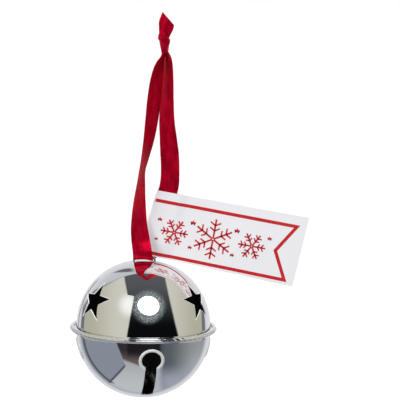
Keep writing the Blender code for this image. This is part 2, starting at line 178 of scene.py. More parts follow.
KNOT_SECTIONS = (
    (8.9, 108.4, 1.7, 2.3),
    (8.9, 109.8, 1.85, 2.5),
    (8.8, 112.0, 2.2, 2.8),
    (8.7, 114.0, 2.4, 2.9),
    (8.2, 116.0, 1.9, 2.5),
    (7.9, 117.4, 1.3, 1.9),
)
BAND_X = 8.5
BAND_Z = 115.3
BAND_HALF_HEIGHT = 2.7
BAND_THICKNESS = 0.62


# -------- mesh helpers
def clamp(value):
    return min(max(value, 0.0), 1.0)


def mesh_from_bmesh(name, bm):
    bmesh.ops.recalc_face_normals(bm, faces=bm.faces)
    mesh = bpy.data.meshes.new(name)
    bm.to_mesh(mesh)
    bm.free()
    return mesh


def link(name, data):
    """Puts data into the scene as an object."""
    obj = bpy.data.objects.new(name, data)
    scene.collection.objects.link(obj)
    return obj


def add_piece(name, mesh, mat, body, stands_for=(), sharp=50.0):
    """Links a finished mesh as a piece, riding on its body if one is given."""
    mesh.materials.append(mat)
    mesh.shade_smooth()
    mesh.set_sharp_from_angle(angle=math.radians(sharp))
    obj = link(name, mesh)
    if body:
        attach(obj, body)
    if stands_for:
        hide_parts(*stands_for)
    return obj


def bridge(bm, lower, upper):
    """Closed band of faces between two equal loops of vertices."""
    count = len(lower)
    for i in range(count):
        j = (i + 1) % count
        bm.faces.new((lower[i], lower[j], upper[j], upper[i]))


def add_rings(bm, rings, closed=False):
    """Joins equal rings of points into a capped tube, or a closed loop of tube."""
    loops = [[bm.verts.new(p) for p in ring] for ring in rings]
    for lower, upper in zip(loops, loops[1:]):
        bridge(bm, lower, upper)
    if closed:
        bridge(bm, loops[-1], loops[0])
    else:
        bm.faces.new(loops[0])
        bm.faces.new(loops[-1])


def circle(centre, first, second, radius, sides):
    """Ring of points in the plane of two unit directions."""
    ring = []
    for k in range(sides):
        angle = math.tau * k / sides
        ring.append(centre + radius * (math.cos(angle) * first + math.sin(angle) * second))
    return ring


def star_corners(radius, waist, turn=90.0):
    points = []
    for i in range(10):
        reach = radius * (1 if i % 2 == 0 else waist)
        angle = math.radians(turn + 36 * i)
        points.append(Vector((reach * math.cos(angle), reach * math.sin(angle))))
    return points


def arc(cx, cy, radius, start, end, steps):
    angles = [math.radians(start + (end - start) * i / steps) for i in range(steps + 1)]
    return [(cx + radius * math.cos(a), cy + radius * math.sin(a)) for a in angles]


def smooth_rows(rows, per_span):
    """Catmull-Rom curve through rows of equal length, ends kept."""
    made = []
    last = len(rows) - 1
    for i in range(last):
        p0, p1, p2, p3 = (rows[min(max(k, 0), last)] for k in (i - 1, i, i + 1, i + 2))
        for step in range(per_span):
            t = step / per_span
            made.append([
                0.5 * (2 * b + (c - a) * t + (2 * a - 5 * b + 4 * c - d) * t**2
                       + (3 * b - a - 3 * c + d) * t**3)
                for a, b, c, d in zip(p0, p1, p2, p3)
            ])
    made.append(list(rows[last]))
    return made


# -------- material helpers
def linear(red, green, blue):
    """Linear colour from an 8-bit display colour."""
    made = []
    for value in (red, green, blue):
        share = value / 255
        made.append(share / 12.92 if share <= 0.04045 else ((share + 0.055) / 1.055) ** 2.4)
    return tuple(made)


class Graph:
    """Short calls for building one node tree."""

    def __init__(self, tree):
        self.nodes = tree.nodes
        self.links = tree.links

    def put(self, socket, value):
        if isinstance(value, bpy.types.NodeSocket):
            self.links.new(value, socket)
        elif isinstance(value, (tuple, list)) and len(value) == 3 and socket.type == "RGBA":
            socket.default_value = (*value, 1.0)
        else:
            socket.default_value = value

    def math(self, operation, *values):
        node = self.nodes.new("ShaderNodeMath")
        node.operation = operation
        for socket, value in zip(node.inputs, values):
            self.put(socket, value)
        return node.outputs[0]

    def vector(self, operation, *values):
        node = self.nodes.new("ShaderNodeVectorMath")
        node.operation = operation
        for socket, value in zip(node.inputs, values):
            self.put(socket, value)
        return node.outputs["Value" if operation == "DOT_PRODUCT" else "Vector"]

    def step(self, value, low, high):
        """0 below low and 1 above high, smooth between them; high may be the smaller."""
        node = self.nodes.new("ShaderNodeMapRange")
        node.interpolation_type = "SMOOTHSTEP"
        node.clamp = True
        flipped = low > high
        self.put(node.inputs["Value"], value)
        node.inputs["From Min"].default_value = min(low, high)
        node.inputs["From Max"].default_value = max(low, high)
        node.inputs["To Min"].default_value = 1.0 if flipped else 0.0
        node.inputs["To Max"].default_value = 0.0 if flipped else 1.0
        return node.outputs["Result"]

    def within(self, value, centre, outer, inner):
        """1 nearer to the centre than inner and 0 beyond outer."""
        off = self.math("ABSOLUTE", self.math("SUBTRACT", value, centre))
        return self.step(off, outer, inner)

    def both(self, *masks):
        made = masks[0]
        for mask in masks[1:]:
            made = self.math("MULTIPLY", made, mask)
        return made

    def average(self, first, second):
        return self.math("MULTIPLY", self.math("ADD", first, second), 0.5)

    def mix(self, share, first, second):
        node = self.nodes.new("ShaderNodeMix")
        node.data_type = "RGBA"
        self.put(node.inputs["Factor"], share)
        self.put(node.inputs[6], first)
        self.put(node.inputs[7], second)
        return node.outputs[2]

    def distance(self, x, y, centre_x, centre_y):
        across = self.math("POWER", self.math("SUBTRACT", x, centre_x), 2.0)
        along = self.math("POWER", self.math("SUBTRACT", y, centre_y), 2.0)
        return self.math("SQRT", self.math("ADD", across, along))

    def paint(self, under, mask, red, green, blue):
        """Lays an 8-bit display colour over another where the mask is 1."""
        return self.mix(mask, under, linear(red, green, blue))

    def noise(self, vector, scale, detail=3.0, roughness=0.5):
        node = self.nodes.new("ShaderNodeTexNoise")
        self.put(node.inputs["Vector"], vector)
        node.inputs["Scale"].default_value = scale
        node.inputs["Detail"].default_value = detail
        node.inputs["Roughness"].default_value = roughness
        return node.outputs["Fac"]

    def bump(self, height, strength, distance, normal=None):
        node = self.nodes.new("ShaderNodeBump")
        self.put(node.inputs["Height"], height)
        node.inputs["Strength"].default_value = strength
        node.inputs["Distance"].default_value = distance
        if normal is not None:
            self.put(node.inputs["Normal"], normal)
        return node.outputs["Normal"]

    def coordinates(self, name="Object"):
        return self.nodes.new("ShaderNodeTexCoord").outputs[name]


class Finish(Graph):
    """A new material, with short calls for its main sockets."""

    def __init__(self, name, colour, roughness, metallic=0.0):
        self.mat = bpy.data.materials.new(name)
        self.mat.use_nodes = True
        super().__init__(self.mat.node_tree)
        self.set("Base Color", colour)
        self.set("Roughness", roughness)
        self.set("Metallic", metallic)

    def set(self, name, value):
        self.put(self.nodes["Principled BSDF"].inputs[name], value)

    def tint(self, share, first, second):
        self.set("Base Color", self.mix(share, first, second))

    def roughen(self, mask, spread, least):
        self.set("Roughness", self.math("MULTIPLY_ADD", mask, spread, least))


def mirror_steel():
    """Bright plate: pressed sheet that is slightly wavy, with fine polishing haze and specks."""
    g = Finish("mirror_steel", (0.88, 0.88, 0.87), 0.05, 1.0)
    place = g.coordinates()
    g.roughen(g.noise(place, 260.0, 5.0, 0.6), 0.05, 0.015)
    g.tint(g.noise(place, 45.0, 2.0), (0.86, 0.86, 0.85), (0.92, 0.92, 0.91))
    waves = g.bump(g.noise(place, 55.0, 1.0), 1.0, 0.09 * MM)
    g.set("Normal", g.bump(g.noise(place, 900.0), 0.25, 0.012 * MM, waves))
    return g.mat


def edge_steel_painted_highlight():
    """Rolled edges: rougher than the plate, with a near-white colour that paints their bright
    highlight.
    """
    # The near-white base colour is a painted highlight along the rims of the cut-outs.
    g = Finish("edge_steel_painted_highlight", (0.97, 0.97, 0.97), 0.38, 0.35)
    place = g.coordinates()
    g.roughen(g.noise(place, 700.0), 0.3, 0.25)
    g.set("Normal", g.bump(g.noise(place, 1600.0), 0.3, 0.03 * MM))
    return g.mat


def inside_painted_shade():
    """Inside of the shells: dull, and nearly black as a painted shade of the unlit hollow."""
    # The near-black colour is painted shade inside the bell, not the steel's own colour.
    g = Finish("inside_painted_shade", (0.035, 0.035, 0.037), 0.75, 0.5)
    tone = g.noise(g.coordinates(), 120.0, 4.0)
    g.tint(tone, (0.012, 0.012, 0.013), (0.05, 0.048, 0.046))
    return g.mat


def wire_steel():
    """Drawn wire with fine upright lines."""
    g = Finish("wire_steel", (0.85, 0.85, 0.85), 0.14, 1.0)
    lines = g.noise(g.vector("MULTIPLY", g.coordinates(), (1.0, 1.0, 0.1)), 2400.0, 2.0)
    g.roughen(lines, 0.16, 0.06)
    g.set("Normal", g.bump(lines, 0.3, 0.02 * MM))
    return g.mat


def tumbled_steel():
    g = Finish("tumbled_steel", (0.28, 0.28, 0.29), 0.4, 1.0)
    marks = g.noise(g.coordinates(), 420.0, 6.0, 0.7)
    g.tint(marks, (0.16, 0.155, 0.15), (0.40, 0.40, 0.41))
    g.roughen(marks, 0.4, 0.2)
    g.set("Normal", g.bump(marks, 0.5, 0.08 * MM))
    return g.mat


WARP_PITCH = 0.22
WEFT_PITCH = 0.55


def red_satin():
    """Satin weave of fine threads, with streaks of sheen along the ribbon. The map runs across
    the ribbon in x and along it in y, in millimetres."""
    g = Finish("red_satin", (0.42, 0.004, 0.020), 0.4, 0.5)
    g.set("Specular IOR Level", 0.2)
    g.set("Specular Tint", (1.0, 0.12, 0.24))
    g.set("Sheen Weight", 0.12)
    g.set("Sheen Roughness", 0.35)
    g.set("Sheen Tint", (1.0, 0.10, 0.22))
    place = g.coordinates("UV")
    streaks = g.noise(g.vector("MULTIPLY", place, (2.6, 0.10, 1.0)), 1.0, 4.0, 0.6)
    clouds = g.noise(g.vector("MULTIPLY", place, (0.25, 0.12, 1.0)), 1.0)
    tone = g.step(g.average(streaks, clouds), 0.3, 0.7)
    g.tint(tone, (0.30, 0.0008, 0.0150), (0.78, 0.0030, 0.0330))
    g.roughen(streaks, 0.25, 0.24)
    split = g.nodes.new("ShaderNodeSeparateXYZ")
    g.put(split.inputs[0], place)
    warp, weft = (
        g.math("SINE", g.math("MULTIPLY", split.outputs[i], math.tau / pitch))
        for i, pitch in enumerate((WARP_PITCH, WEFT_PITCH))
    )
    weave = g.math("ADD", warp, g.math("MULTIPLY", g.both(warp, weft), 0.6))
    fine = g.bump(weave, 0.35, 0.012 * MM)
    g.set("Normal", g.bump(streaks, 0.5, 0.12 * MM, fine))
    return g.mat


def white_card():
    """Uncoated card: short fibres, faint mottle."""
    g = Finish("white_card", (0.86, 0.85, 0.89), 0.75)
    g.set("Specular IOR Level", 0.35)
    place = g.coordinates()
    fibres = g.noise(g.vector("MULTIPLY", place, (1.0, 1.0, 3.0)), 900.0, 5.0, 0.65)
    tone = g.average(fibres, g.noise(place, 90.0))
    g.tint(tone, (0.84, 0.83, 0.87), (0.90, 0.89, 0.925))
    g.roughen(fibres, 0.2, 0.6)
    g.set("Normal", g.bump(fibres, 0.3, 0.03 * MM))
    return g.mat


def red_ink():
    """Printed red that lets a little of the card's fibre through."""
    g = Finish("red_ink", linear(196, 32, 38), 0.5)
    fibres = g.noise(g.coordinates(), 1100.0, 4.0, 0.7)
    g.tint(g.step(fibres, 0.35, 0.75), linear(190, 24, 32), linear(212, 52, 56))
    g.roughen(fibres, 0.2, 0.4)
    return g.mat


STEEL = mirror_steel()
EDGE_HIGHLIGHT = edge_steel_painted_highlight()
INSIDE_SHADE = inside_painted_shade()
WIRE = wire_steel()
TUMBLED = tumbled_steel()
SATIN = red_satin()
CARD = white_card()
INK = red_ink()


# -------- shells
TURN_STEPS = 288
DOME_STEPS = 48


def dome_line(sign, centre_z, exponent):
    """Middle line of a dome's sheet from its pole to its widest place."""
    radius = BODY_RADIUS - SHEET / 2
    line = []
    for i in range(DOME_STEPS + 1):
        angle = math.pi / 2 * i / DOME_STEPS
        r = radius * math.sin(angle) ** (2 / exponent)
        z = radius * max(math.cos(angle), 0.0) ** (2 / exponent)
        line.append((r, centre_z + sign * z))
    line[-1] = (radius, centre_z)
    return line


def thicken(line):
    """Closed outline of a sheet from its middle line."""
    points = [Vector(p) for p in line]
    sides = []
    for i in range(len(points)):
        run = points[min(i + 1, len(points) - 1)] - points[max(i - 1, 0)]
        run.normalize()
        sides.append(Vector((run.y, -run.x)) * SHEET / 2)
    sides[0] = Vector((0, -SHEET / 2))
    outer = [tuple(p - s) for p, s in zip(points, sides)]
    inner = [tuple(p + s) for p, s in zip(points, sides)]
    return outer + inner[::-1]


def turned(name, profile):
    """Turns an outline into a shell, with slanting ripples round the hem's lip."""
    bm = bmesh.new()
    verts = [bm.verts.new((r, 0, z)) for r, z in profile]
    edges = [bm.edges.new((verts[i - 1], verts[i])) for i in range(1, len(verts))]
    bmesh.ops.spin(
        bm, geom=verts + edges, cent=(0, 0, 0), axis=(0, 0, 1), angle=math.tau,
        steps=TURN_STEPS, use_merge=True,
    )
    bmesh.ops.remove_doubles(bm, verts=bm.verts, dist=1e-6)
    for vert in bm.verts:
        reach = math.hypot(vert.co.x, vert.co.y)
        share = clamp((reach - HEM_LIP_RADIUS) / RIPPLE_FADE)
        turn = math.atan2(vert.co.y, vert.co.x)
        share *= 0.05 + 0.95 * abs(math.cos(turn)) ** 1.5
        phase = RIPPLES * turn + (vert.co.z - SEAM_Z) * RIPPLE_TWIST
        swell = RIPPLE_HEIGHT * share * math.sin(phase)
        vert.co.x += vert.co.x / max(reach, MM) * swell
        vert.co.y += vert.co.y / max(reach, MM) * swell
        vert.co.z += 0.7 * swell
    bmesh.ops.translate(bm, verts=bm.verts, vec=(CROWN.x, CROWN.y, 0))
    return mesh_from_bmesh(name, bm)


def carve(mesh, cutters):
    """Cuts closed cutter meshes out of a mesh and returns the result."""
    body = link("carved", mesh)
    tools = []
    for cutter in cutters:
        tool = link("tool", cutter)
        modifier = body.modifiers.new("cut", "BOOLEAN")
        modifier.object = tool
        modifier.solver = "EXACT"
        tools.append(tool)
    graph = bpy.context.evaluated_depsgraph_get()
    made = bpy.data.meshes.new_from_object(body.evaluated_get(graph))
    for obj in [body, *tools]:
        bpy.data.objects.remove(obj)
    return made


def dome_size(point, centre_z, exponent):
    """Radius of the dome of this exponent that passes through a point."""
    reach = math.hypot(point.x - CROWN.x, point.y - CROWN.y)
    return (reach**exponent + abs(point.z - centre_z) ** exponent) ** (1 / exponent)


def dome_normal(point, centre_z, exponent):
    """Outward direction square to the dome through a point."""
    out = Vector((point.x - CROWN.x, point.y - CROWN.y, 0))
    rise = point.z - centre_z
    reach = max(out.length, 1e-9)
    flat = out / reach * reach ** (exponent - 1)
    return (flat + Vector((0, 0, math.copysign(abs(rise) ** (exponent - 1), rise)))).normalized()


def finish_shell(mesh, sign, centre_z, exponent):
    """Gives the domes exact normals, so that reflections stay clean beside the cut-outs, and the
    inside a nearly black steel that paints the shade of the hollow."""
    mesh.materials.append(INSIDE_SHADE)
    normals = [Vector((0, 0, 0)) for _ in mesh.loops]
    for face in mesh.polygons:
        centre = face.center
        size = dome_size(centre, centre_z, exponent)
        on_dome = sign * (centre.z - centre_z) > 0
        outer = on_dome and abs(size - BODY_RADIUS) < NORMAL_BAND
        inner = on_dome and abs(size - BODY_RADIUS + SHEET) < NORMAL_BAND
        # Slot 1 is the nearly black steel that paints the shade on the inside.
        face.material_index = 1 if inner else 0
        if outer or inner:
            for index in face.loop_indices:
                point = mesh.vertices[mesh.loops[index].vertex_index].co
                normals[index] = dome_normal(point, centre_z, exponent) * (1 if outer else -1)
    mesh.normals_split_custom_set(normals)


def outward_frame(centre_z, azimuth, latitude):
    """Frame at a dome's centre whose -Y points out at the azimuth and latitude, in degrees."""
    turn = Matrix.Rotation(math.radians(azimuth), 4, "Z")
    tilt = Matrix.Rotation(math.radians(-latitude), 4, "X")
    return Matrix.Translation((CROWN.x, CROWN.y, centre_z)) @ turn @ tilt


def star_outline():
    """Star with its sides in short steps, so that they can follow the dome."""
    corners = star_corners(STAR_RADIUS, STAR_WAIST)
    points = []
    for i in range(10):
        points += [corners[i].lerp(corners[(i + 1) % 10], step / 6) for step in range(6)]
    return points


def keyhole_outline():
    """Round hole with a slot running down from it, in (across, up the shell) coordinates."""
    meet = math.degrees(math.asin(SLOT_HALF / KEYHOLE_RADIUS))
    drop = (BODY_RADIUS - SHEET / 2) * math.radians(KEYHOLE_LATITUDE - SLOT_END_LATITUDE)
    end = -drop + SLOT_HALF * SLOT_END_FLATNESS
    top = -KEYHOLE_RADIUS * math.cos(math.radians(meet))
    points = arc(0, 0, KEYHOLE_RADIUS, -90 + meet, 270 - meet, 40)
    points += [(-SLOT_HALF, top + (end - top) * i / 20) for i in range(1, 20)]
    slot_end = arc(0, end, SLOT_HALF, 180, 360, 14)
    points += [(x, end + (y - end) * SLOT_END_FLATNESS) for x, y in slot_end]
    points += [(SLOT_HALF, end + (top - end) * i / 20) for i in range(1, 20)]
    return [Vector(p) for p in points]


def star_point(place, turn_frame, radius):
    """Where a ray along a star's own axis meets the upper dome of a given radius."""
    low, high = 0.4 * BODY_RADIUS, 1.4 * BODY_RADIUS
    for _ in range(40):
        middle = (low + high) / 2
        point = turn_frame @ Vector((place.x, -middle, place.y))
        if dome_size(point, UPPER_CENTRE_Z, CROWN_EXPONENT) < radius:
            low = middle
        else:
            high = middle
    return turn_frame @ Vector((place.x, -low, place.y))


def keyhole_point(place, turn_frame, radius):
    """Where a place in a keyhole's outline lies on a ball of a given radius."""
    latitude = math.radians(KEYHOLE_LATITUDE) + place.y / (BODY_RADIUS - SHEET / 2)
    reach = math.sqrt(radius**2 - place.x**2)
    return turn_frame @ Vector((place.x, -reach * math.cos(latitude), reach * math.sin(latitude)))


def cutter_mesh(outline, locate, turn_frame):
    rings = []
    for radius in (BODY_RADIUS - CUTTER_REACH, BODY_RADIUS + CUTTER_REACH):
        rings.append([locate(p, turn_frame, radius) for p in outline])
    bm = bmesh.new()
    add_rings(bm, rings)
    bmesh.ops.triangulate(bm, faces=[f for f in bm.faces if len(f.verts) > 4])
    return mesh_from_bmesh("cutter", bm)


def add_rim(bm, points, centre, radii):
    """Rounded edge along a closed line on the shell."""
    rings = []
    count = len(points)
    for i, point in enumerate(points):
        run = (points[(i + 1) % count] - points[i - 1]).normalized()
        out = (point - centre).normalized()
        side = run.cross(out).normalized()
        rings.append(circle(point, out, side, radii[i], 10))
    add_rings(bm, rings, closed=True)


def add_shell(node, line, cutters, rims, edges, shape):
    """One shell cut from its middle line, and the rounded edges of its cut-outs."""
    name = node + "_skin"
    mesh = carve(turned(name, thicken(line)), cutters)
    shell = add_piece(name, mesh, STEEL, "bell", [node])
    finish_shell(shell.data, *shape)
    add_piece(edges, mesh_from_bmesh(edges, rims), EDGE_HIGHLIGHT, "bell")


def build_upper_shell():
    shape = (1, UPPER_CENTRE_Z, CROWN_EXPONENT)
    radius = BODY_RADIUS - SHEET / 2
    centre = Vector((CROWN.x, CROWN.y, UPPER_CENTRE_Z))
    line = dome_line(*shape)
    line += arc(radius + FILLET, UPPER_CENTRE_Z, FILLET, 180, 270, 6)[1:]
    line.append((HEM_CENTRE_RADIUS + 0.15 * MM, SEAM_Z))
    rims = bmesh.new()
    cutters = []
    for azimuth in STAR_AZIMUTHS:
        turn_frame = outward_frame(UPPER_CENTRE_Z, azimuth, STAR_LATITUDE)
        cutters.append(cutter_mesh(star_outline(), star_point, turn_frame))
        edge = [star_point(p, turn_frame, radius) for p in star_outline()]
        add_rim(rims, edge, centre, [RIM_RADIUS] * len(edge))
    add_shell("upper_shell", line, cutters, rims, "star_edges", shape)


def build_lower_shell():
    """Lower dome with its keyholes, and the hem that is rolled over the upper flange."""
    shape = (-1, LOWER_CENTRE_Z, LOWER_EXPONENT)
    radius = BODY_RADIUS - SHEET / 2
    centre = Vector((CROWN.x, CROWN.y, LOWER_CENTRE_Z))
    line = dome_line(*shape)
    line += arc(radius + FILLET, LOWER_CENTRE_Z, FILLET, 180, 90, 6)[1:]
    for r, z in arc(0, 0, FLANGE_STEP, -90, 90, 36):
        ridge = 1 + HEM_RIDGE * math.cos(6 * math.atan2(z, r))
        line.append((HEM_CENTRE_RADIUS + r * ridge, SEAM_Z + z * ridge))
    line.append((HEM_LIP_RADIUS, SEAM_Z + FLANGE_STEP))
    rims = bmesh.new()
    cutters = []
    outline = keyhole_outline()
    for azimuth in KEYHOLE_AZIMUTHS:
        turn_frame = outward_frame(LOWER_CENTRE_Z, azimuth, 0)
        cutters.append(cutter_mesh(outline, keyhole_point, turn_frame))
        edge, radii = [], []
        for place in outline:
            share = clamp((place.y + 1.15 * KEYHOLE_RADIUS) / (0.5 * KEYHOLE_RADIUS))
            lip = RIM_RADIUS + (KEYHOLE_LIP_RADIUS - RIM_RADIUS) * share
            wide = place + place.normalized() * (lip - RIM_RADIUS) * share
            edge.append(keyhole_point(wide, turn_frame, radius))
            radii.append(lip)
        add_rim(rims, edge, centre, radii)
    add_shell("lower_shell", line, cutters, rims, "keyhole_edges", shape)


# -------- eye and striker
def build_eye():
    """Bent wire with rounded corners, through the crown and splayed inside."""
    right = [(CROWN.x + x * MM, CROWN.y, CROWN.z + z * MM) for x, z in EYE_SIDE]
    left = [(2 * CROWN.x - x, y, z) for x, y, z in right]
    route = [Vector(p) for p in smooth_rows(left + right[::-1], 6)]
    depth = Vector((0, 1, 0))
    rings = []
    for i, point in enumerate(route):
        run = (route[min(i + 1, len(route) - 1)] - route[max(i - 1, 0)]).normalized()
        rings.append(circle(point, depth.cross(run), depth, EYE_WIRE_RADIUS, 20))
    bm = bmesh.new()
    add_rings(bm, rings)
    mesh = mesh_from_bmesh("eye_wire", bm)
    add_piece("eye_wire", mesh, WIRE, "bell", ["hanger_eye"])


def build_striker():
    """Steel ball with two small flats and the shallow dents of tumbling."""
    low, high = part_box("striker_ball")
    centre = (low + high) / 2
    radius = (high.z - low.z) / 2
    bm = bmesh.new()
    bmesh.ops.create_icosphere(bm, subdivisions=5, radius=radius)
    for vert in bm.verts:
        vert.co.z *= min(1.0, STRIKER_FLAT * radius / max(abs(vert.co.z), 1e-6))
        n = vert.co / radius
        dent = math.sin(7 * n.x + 2) * math.sin(6 * n.y + 1) * math.sin(8 * n.z)
        vert.co *= 1 - STRIKER_DENT * (1 + dent)
    bmesh.ops.translate(bm, verts=bm.verts, vec=centre)
    mesh = mesh_from_bmesh("striker_skin", bm)
    add_piece("striker_skin", mesh, TUMBLED, "striker", ["striker_ball"])


# -------- ribbon
ACROSS = 28


def ribbon_mesh(name, sections, lengths):
    """Thin strip from sections of inner and outer points, with a map in millimetres."""
    bm = bmesh.new()
    layer = bm.loops.layers.uv.new("strip")
    grid = [[[bm.verts.new(p) for p in line] for line in section] for section in sections]
    width, thickness = RIBBON_WIDTH / MM, RIBBON_THICKNESS / MM
    marks = [width * k / ACROSS for k in range(ACROSS + 1)]

    def face(verts, across, along):
        (u0, u1), (v0, v1) = across, along
        places = ((u0, v0), (u1, v0), (u1, v1), (u0, v1))
        for loop, place in zip(bm.faces.new(verts).loops, places):
            loop[layer].uv = place

    for row in range(len(grid) - 1):
        along = lengths[row:row + 2]
        for k in range(ACROSS):
            for a, b in zip(grid[row], grid[row + 1]):
                face((a[k], a[k + 1], b[k + 1], b[k]), marks[k:k + 2], along)
        for k in (0, ACROSS):
            a, b = grid[row], grid[row + 1]
            edge = (marks[k], marks[k] + thickness)
            face((a[0][k], a[1][k], b[1][k], b[0][k]), edge, along)
    for end in (0, -1):
        inner, outer = grid[end]
        for k in range(ACROSS):
            verts = (inner[k], inner[k + 1], outer[k + 1], outer[k])
            face(verts, marks[k:k + 2], (lengths[end], lengths[end]))
    return mesh_from_bmesh(name, bm)


def ribbon_sections(rows, end_runs=(None, None)):
    """Cross-sections along a route. Where the ribbon is gathered narrow, it pleats."""
    points = [CROWN + Vector(row[:3]) * MM for row in rows]
    sections, lengths = [], [0.0]
    for i, row in enumerate(rows):
        turn, width, curl = math.radians(row[3]), row[4] * MM, math.radians(row[5])
        run = points[min(i + 1, len(points) - 1)] - points[max(i - 1, 0)]
        if i == 0 and end_runs[0]:
            run = end_runs[0]
        if i == len(rows) - 1 and end_runs[1]:
            run = end_runs[1]
        run = run.normalized()
        level = (Vector((1, 0, 0)) - run * run.x * abs(run.z)).normalized()
        out = run.cross(level).normalized()
        across = math.cos(turn) * level + math.sin(turn) * out
        face = run.cross(across)
        bend = width / curl
        pinch = 1 - width / RIBBON_WIDTH
        inner, outer = [], []
        for k in range(ACROSS + 1):
            place = k / ACROSS - 0.5
            angle = curl * place
            pleat = pinch * PLEAT_DEPTH * math.sin(place * 19 + 0.6)
            selvedge = 1 + SELVEDGE_SWELL * math.exp(-(((abs(place) - 0.475) / 0.02) ** 2))
            for sign, bucket in ((-1, inner), (1, outer)):
                radius = bend + sign * selvedge * RIBBON_THICKNESS / 2 - pleat
                lift = bend - radius * math.cos(angle)
                bucket.append(points[i] + across * (bend * math.sin(angle)) + face * lift)
        sections.append((inner, outer))
        if i:
            lengths.append(lengths[-1] + (points[i] - points[i - 1]).length / MM)
    return sections, lengths


def sleeve_run():
    """Direction of the card's fold, which the ribbon inside it follows."""
    top = Vector((TAG_TOP_LEFT.x, 0, TAG_TOP_LEFT.y))
    bottom = Vector((TAG_BOTTOM_LEFT.x, 0, TAG_BOTTOM_LEFT.y))
    return (top - bottom).normalized()


def build_strands():
    run = sleeve_run()
    sections, lengths = ribbon_sections(smooth_rows(FRONT_ROUTE, 8), (None, run))
    mesh = ribbon_mesh("ribbon_front_satin", sections, lengths)
    front = add_piece("ribbon_front_satin", mesh, SATIN, None, ["ribbon_front"])
    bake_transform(front)

    sections, back_lengths = ribbon_sections(smooth_rows(BACK_ROUTE, 8), (run, None))
    mesh = ribbon_mesh("ribbon_back_satin", sections, back_lengths)
    back = add_piece("ribbon_back_satin", mesh, SATIN, None, ["ribbon_back"])
    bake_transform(back)

    start, end = Vector(FRONT_ROUTE[-1][:3]), Vector(BACK_ROUTE[0][:3])
    gap = run * JOIN_GAP
    rows = []
    for i in range(21):
        place = (start + gap).lerp(end - gap, i / 20)
        rows.append([*place, 0, 10.0, 10])
    sections, sleeve_lengths = ribbon_sections(rows, (run, run))
    mesh = ribbon_mesh("ribbon_in_tag_satin", sections, sleeve_lengths)
    held = add_piece("ribbon_in_tag_satin", mesh, SATIN, "tag", ["ribbon_in_tag"])
    return front, lengths


def build_tail(name, side, node):
    """Tail on one side of the knot, its heights sheared towards the slanted cut."""
    rows = []
    for x, y, z, _, width, curl in TAIL_ROUTE:
        rows.append([TAIL_ROOT_X + x, side * (TAIL_STAND_OFF - y), z, width, curl])
    rows = smooth_rows(rows, 8)
    half_thickness = RIBBON_THICKNESS / MM / 2
    tip, corner = TAIL_CUT_TIP, TAIL_CUT_CORNER
    slope = (corner[1] - tip[1]) / (corner[0] - tip[0])
    bottom, top = rows[0][2], rows[-1][2]
    sections, lengths = [], []
    for row in rows:
        width, curl = row[3], math.radians(row[4])
        bend = width / curl
        pinch = 1 - row[2] / top + 0.05
        inner, outer = [], []
        for k in range(ACROSS + 1):
            place = k / ACROSS - 0.5
            angle = curl * place
            pleat = pinch * TAIL_PLEAT * math.sin(place * 17 + side)
            for sign, bucket in ((-1, inner), (1, outer)):
                radius = bend + sign * half_thickness
                x = row[0] + bend * math.sin(angle)
                y = row[1] + bend - radius * math.cos(angle) + pleat
                limit = tip[1] + slope * (x - tip[0])
                z = bottom + (row[2] - bottom) * (limit - bottom) / (top - bottom)
                bucket.append(CROWN + Vector((x, y, z)) * MM)
        sections.append((inner, outer))
        lengths.append(row[2])
    mesh = ribbon_mesh(name, sections, lengths)
    return add_piece(name, mesh, SATIN, "ribbon", [node])


def build_knot():
    """Gathered ribbon inside a diagonal wrap."""
    bm = bmesh.new()
    layer = bm.loops.layers.uv.new("strip")
    rings = []
    for x, z, half_width, half_depth in smooth_rows(KNOT_SECTIONS, 6):
        ring = []
        for k in range(64):
            angle = math.tau * k / 64
            fold = 1 + 0.07 * math.cos(7 * angle + (z - 109) * 0.35)
            ring.append(CROWN + Vector((
                x + half_width * fold * math.cos(angle),
                half_depth * fold * math.sin(angle),
                z,
            )) * MM)
        rings.append(ring)
    add_rings(bm, rings)
    band = []
    for i in range(72):
        turn = math.tau * i / 72
        out = Vector((math.cos(turn), math.sin(turn), 0))
        slope = -2.6 * out.x - 0.4 * out.y
        centre = Vector((BAND_X + 2.2 * out.x, 2.75 * out.y, BAND_Z + slope))
        up = Vector((0.3, 0, 1)).normalized()
        ring = []
        for k in range(24):
            angle = math.tau * k / 24
            crease = 1 + 0.16 * math.sin(9 * angle + 3 * turn)
            thick = BAND_THICKNESS * math.cos(angle) * (crease if math.cos(angle) > 0 else 1)
            rise = up * BAND_HALF_HEIGHT * math.sin(angle)
            ring.append(CROWN + (centre + out * thick + rise) * MM)
        band.append(ring)
    add_rings(bm, band, closed=True)
    for face in bm.faces:
        for loop in face.loops:
            turn = math.atan2(loop.vert.co.y, loop.vert.co.x - CROWN.x - BAND_X * MM)
            loop[layer].uv = ((loop.vert.co.z - CROWN.z) / MM, turn * 3.0)
    name = "ribbon_knot_satin"
    mesh = mesh_from_bmesh(name, bm)
    return add_piece(name, mesh, SATIN, "ribbon", ["ribbon_knot"], 80.0)


# -------- tag
FOLD = (TAG_TOP_LEFT - TAG_BOTTOM_LEFT).normalized()
CARD_SKIN = TAG_SLEEVE_GAP / 2 + TAG_LEAF
INK_FOOT = 0.01 * MM
INK_TOP = 0.04 * MM
INK_STEP = 0.6 * MM
# Right side of the border with its notch, in millimetres from the crown.
BORDER = ((73.0, -9.7), (68.1, 5.8), (79.2, 18.5))
BORDER_WIDTH = 1.75 * MM
BORDER_INSET = 0.3 * MM
BORDER_LOW = 1.5 * MM
BORDER_HIGH = 5.2 * MM
PRINT_MIDDLE = Vector((35.5, 11.2)) * MM
PRINT_TILT = 9.4
FLAKE_SPACING = 20.5 * MM
# Small stars beside the middle flake: along the tag, across it, and radius, in millimetres.
# The border's notch leaves no room for the last one on the right.
PRINT_STARS = ((11.6, 6.6, 1.6), (11.2, -6.4, 1.2), (29.0, 5.6, 1.3), (29.2, -4.8, 1.0))


